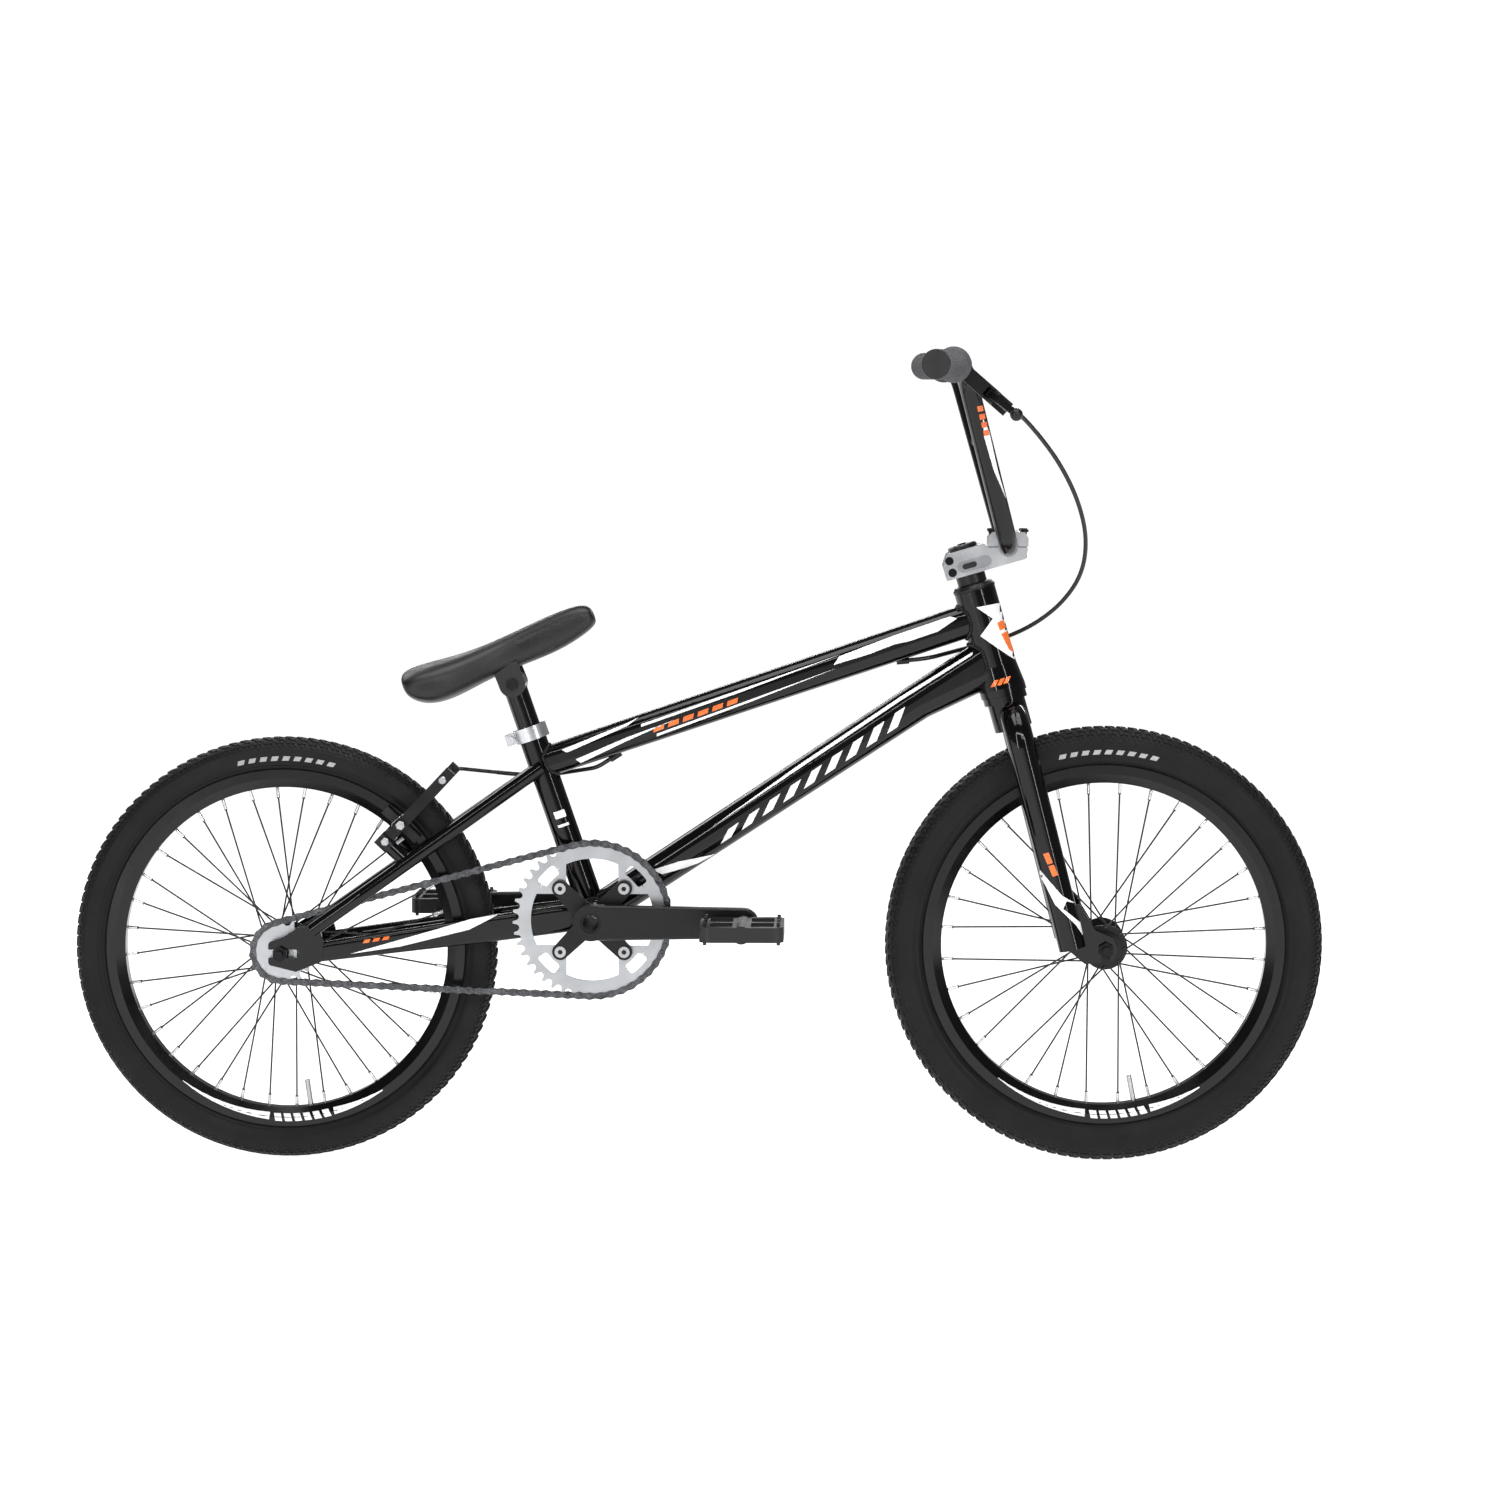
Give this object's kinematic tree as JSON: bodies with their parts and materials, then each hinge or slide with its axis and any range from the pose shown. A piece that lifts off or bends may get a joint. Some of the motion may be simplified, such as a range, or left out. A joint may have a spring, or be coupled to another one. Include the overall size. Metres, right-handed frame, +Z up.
{
  "type": "bmx bicycle",
  "caption": "Race style BMX bicycle with small spoked wheels, knobbly tyres, a high handlebar, platform pedals and a rear rim brake.",
  "frame": {"origin": "on the ground under the middle of the bicycle's box", "axes": "+X forward along the bicycle, +Y to the rider's left, +Z up"},
  "size_m": [1.45, 0.7294, 0.9419],
  "materials": {
    "frame_paint": "gloss black paint with white and orange flashes",
    "fork_paint": "gloss black paint",
    "black_parts": "black anodised",
    "silver_parts": "polished",
    "rim": "gloss black",
    "spoke": "black with silver nipples",
    "steel": "bright zinc",
    "chain_steel": "dark steel",
    "tyre": "black rubber",
    "grip": "dark grey rubber",
    "pad": "black rubber",
    "plastic": "black",
    "saddle": "black cover over foam",
    "bar": "gloss black"
  },
  "bodies": {
    "frame": {"frame_head_tube": "frame_paint", "frame_top_tube": "frame_paint", "frame_down_tube": "frame_paint", "frame_seat_tube": "frame_paint", "frame_bb_shell": "frame_paint", "frame_chain_stays": "frame_paint", "frame_seat_stays": "frame_paint", "frame_dropouts": "frame_paint", "brake_posts": "black_parts", "seat_clamp": "silver_parts", "headset_bearings": "steel", "bottom_bracket_cups": "black_parts", "rear_axle": "steel", "rear_axle_nuts": "steel", "chain": "chain_steel", "rear_brake_cable": "plastic"},
    "seat": {"seat_post": "black_parts"},
    "saddle": {"saddle_base": "plastic", "saddle_cover": "saddle", "saddle_bolt": "steel"},
    "steering": {"fork_steerer": "steel", "fork_legs": "fork_paint", "fork_dropouts": "fork_paint", "headset_spacers": "black_parts", "stem_body": "silver_parts", "stem_clamp_cap": "silver_parts", "stem_bolts": "steel", "steerer_top_cap": "black_parts", "handlebar": "bar", "grips": "grip", "bar_end_plugs": "plastic", "brake_lever_perch": "black_parts", "barrel_adjuster": "black_parts", "front_axle": "steel", "front_axle_nuts": "steel", "brake_cable": "plastic"},
    "front_wheel": {"front_hub": "black_parts", "front_spokes": "spoke", "front_rim": "rim", "front_tyre": "tyre", "front_valve": "steel"},
    "rear_wheel": {"rear_hub": "black_parts", "rear_spokes": "spoke", "rear_rim": "rim", "rear_tyre": "tyre", "rear_valve": "steel"},
    "crank": {"crank_arm_right": "black_parts", "crank_arm_left": "black_parts", "crank_spindle": "steel", "chainring": "silver_parts", "chainring_bolts": "steel", "pedal_axles": "steel"},
    "rear_driver": {"rear_sprocket": "steel"},
    "pedal_right_body": {"pedal_right": "plastic"},
    "pedal_left_body": {"pedal_left": "plastic"},
    "lever": {"brake_lever": "black_parts"},
    "brake_right": {"brake_arm_right": "black_parts", "brake_pad_right": "pad"},
    "brake_left": {"brake_arm_left": "black_parts", "brake_pad_left": "pad"}
  },
  "joints": [
    {"name": "seat_height", "type": "slide", "parent": "frame", "child": "seat", "axis": [-0.3256, 0, 0.9455], "range_m": [-0.02, 0.06]},
    {"name": "saddle_tilt", "type": "hinge", "parent": "seat", "child": "saddle", "pos_m": [-0.21265, 0, 0.55522], "axis": [0, 1, 0], "range_deg": [-10, 10]},
    {"name": "steering_turn", "type": "hinge", "parent": "frame", "child": "steering", "pos_m": [0.43821, 0, 0.2535], "axis": [-0.2756, 0, 0.9613], "range_deg": [-75, 75], "deforming": ["brake_cable"]},
    {"name": "front_wheel_spin", "type": "hinge", "parent": "steering", "child": "front_wheel", "pos_m": [0.4715, 0, 0.2535], "axis": [0, 1, 0], "continuous": true},
    {"name": "rear_wheel_spin", "type": "hinge", "parent": "frame", "child": "rear_wheel", "pos_m": [-0.4785, 0, 0.2465], "axis": [0, 1, 0], "continuous": true},
    {"name": "crank_spin", "type": "hinge", "parent": "frame", "child": "crank", "pos_m": [-0.11954, 0, 0.2848], "axis": [0, 1, 0], "continuous": true, "deforming": ["chain"]},
    {"name": "rear_sprocket_spin", "type": "hinge", "parent": "frame", "child": "rear_driver", "pos_m": [-0.4785, 0, 0.2465], "axis": [0, 1, 0], "continuous": true},
    {"name": "pedal_right_spin", "type": "hinge", "parent": "crank", "child": "pedal_right_body", "pos_m": [0.05546, 0, 0.2848], "axis": [0, 1, 0], "continuous": true},
    {"name": "pedal_left_spin", "type": "hinge", "parent": "crank", "child": "pedal_left_body", "pos_m": [-0.29454, 0, 0.2848], "axis": [0, 1, 0], "continuous": true},
    {"name": "brake_lever_squeeze", "type": "hinge", "parent": "steering", "child": "lever", "pos_m": [0.33119, -0.21128, 0.88914], "axis": [-0.6561, 0, -0.7547], "range_deg": [0, 20], "stiffness_Nm_per_rad": 1.5, "springref_deg": -14.32, "deforming": ["rear_brake_cable"]},
    {"name": "brake_arm_right_swing", "type": "hinge", "parent": "frame", "child": "brake_right", "pos_m": [-0.35893, -0.042, 0.37428], "axis": [-0.7302, 0, 0.6833], "range_deg": [0, 3]},
    {"name": "brake_arm_left_swing", "type": "hinge", "parent": "frame", "child": "brake_left", "pos_m": [-0.35893, 0.042, 0.37428], "axis": [0.7302, 0, -0.6833], "range_deg": [0, 3]}
  ],
  "couplings": [
    {"joint": "rear_sprocket_spin", "follows": "crank_spin", "ratio": 2.5882},
    {"joint": "brake_arm_right_swing", "follows": "brake_lever_squeeze", "ratio": 0.145},
    {"joint": "brake_arm_left_swing", "follows": "brake_lever_squeeze", "ratio": 0.145}
  ]
}
